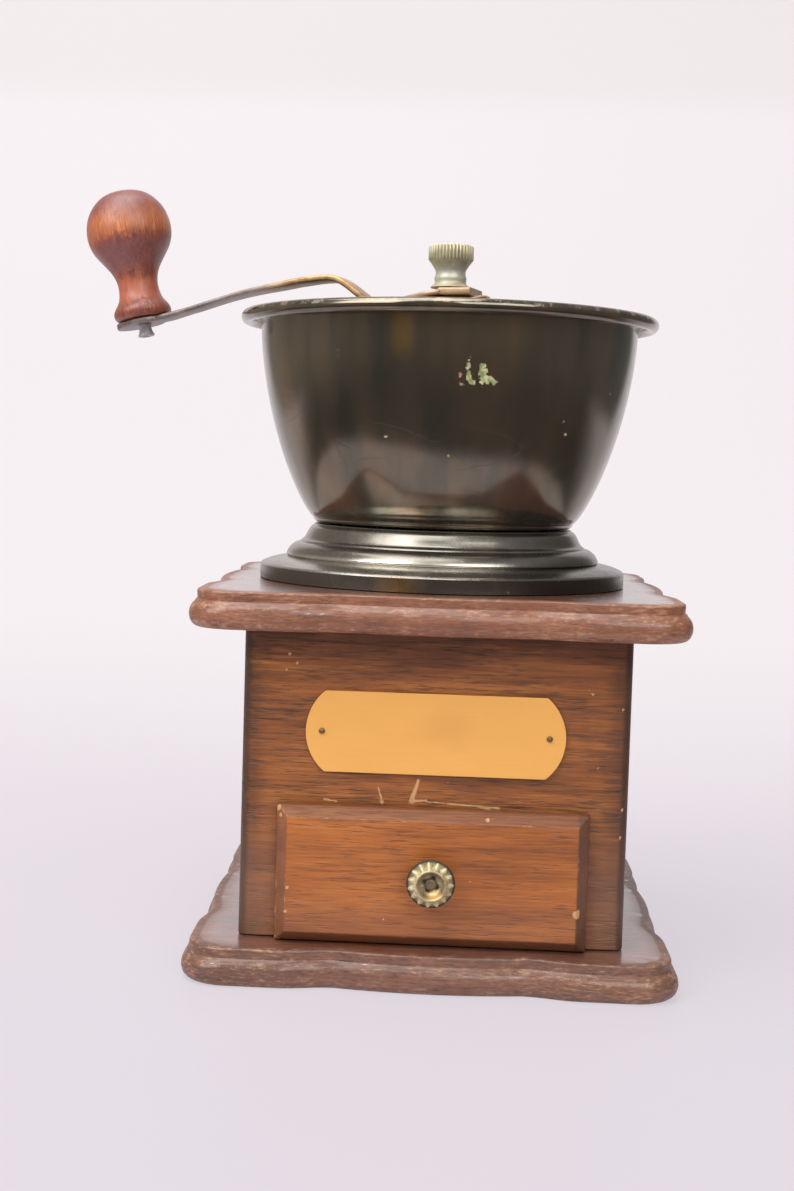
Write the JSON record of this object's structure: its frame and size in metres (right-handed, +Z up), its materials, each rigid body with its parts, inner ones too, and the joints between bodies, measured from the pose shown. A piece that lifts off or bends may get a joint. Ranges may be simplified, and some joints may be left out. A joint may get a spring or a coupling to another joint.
{
  "type": "hand_cranked_coffee_grinder",
  "caption": "Wooden box coffee grinder with a black metal bowl, a hand crank with a turned knob, a conical burr set and a drawer",
  "frame": {"origin": "centre of the base board's underside, on the crank's turning axis", "axes": "+Z up along the crank's axis, the drawer faces -Y, the stored crank points to -X and a little to +Y"},
  "size_m": [0.2064, 0.1514, 0.2528],
  "materials": {
    "board_wood": "worn red-brown stained wood with a thin old varnish, pale on its rubbed edges",
    "box_wood": "stained walnut-brown wood, horizontal grain, satin old varnish",
    "drawer_wood": "orange-brown wood with dark streaks, horizontal grain, satin",
    "pale_wood": "raw unvarnished beech",
    "handle_wood": "turned wood, glossy red-brown lacquer",
    "black_enamel": "glossy bronze-black paint on spun sheet, chipped in places",
    "plate_brass": "satin lacquered copper-coloured brass, bare",
    "aged_brass": "aged greenish-grey brass",
    "aged_steel": "brown patinated steel, copper tint on the rubbed places",
    "grey_iron": "plain grey cast iron, lightly oiled",
    "bright_steel": "plain steel wire and screws"
  },
  "bodies": {
    "mill": {"base_board": "board_wood", "top_board": "board_wood", "front_panel": "box_wood", "back_panel": "box_wood", "left_panel": "box_wood", "right_panel": "box_wood", "name_plate": "plate_brass", "plate_pin_left": "aged_brass", "plate_pin_right": "aged_brass", "bowl": "black_enamel", "bowl_foot": "black_enamel", "bridge": "grey_iron", "outer_burr": "grey_iron", "lower_bearing": "grey_iron", "drawer_guide_left": "pale_wood", "drawer_guide_right": "pale_wood", "base_screw_1": "bright_steel", "mill_screw_1": "bright_steel", "base_screw_2": "bright_steel", "mill_screw_2": "bright_steel", "base_screw_3": "bright_steel", "mill_screw_3": "bright_steel", "base_screw_4": "bright_steel", "mill_screw_4": "bright_steel", "bearing_screw_left": "bright_steel", "bearing_screw_right": "bright_steel"},
    "adjuster": {"adjusting_nut": "aged_brass"},
    "spindle": {"shaft": "aged_steel", "inner_burr": "grey_iron", "spring_washer": "bright_steel", "spring": "bright_steel", "stopper_plate": "aged_steel", "crank_arm": "aged_steel", "cap_nut": "aged_brass", "handle_pin": "aged_steel"},
    "handle": {"handle": "handle_wood"},
    "drawer": {"drawer_front": "drawer_wood", "drawer_left_side": "pale_wood", "drawer_right_side": "pale_wood", "drawer_back": "pale_wood", "drawer_bottom": "pale_wood", "drawer_knob": "aged_brass", "drawer_knob_screw": "bright_steel"}
  },
  "joints": [
    {"name": "crank_turn", "type": "hinge", "parent": "mill", "child": "adjuster", "pos_m": [0, 0, 0.2097], "axis": [0, 0, 1], "continuous": true},
    {"name": "grind_setting", "type": "slide", "parent": "adjuster", "child": "spindle", "axis": [0, 0, 1], "range_m": [0, 0.0012], "deforming": ["spring"]},
    {"name": "handle_spin", "type": "hinge", "parent": "spindle", "child": "handle", "pos_m": [-0.10921, 0.03339, 0.2068], "axis": [-0.1988, 0.0608, 0.9781], "continuous": true},
    {"name": "drawer_slide", "type": "slide", "parent": "mill", "child": "drawer", "axis": [0, -1, 0], "range_m": [0, 0.085]}
  ]
}
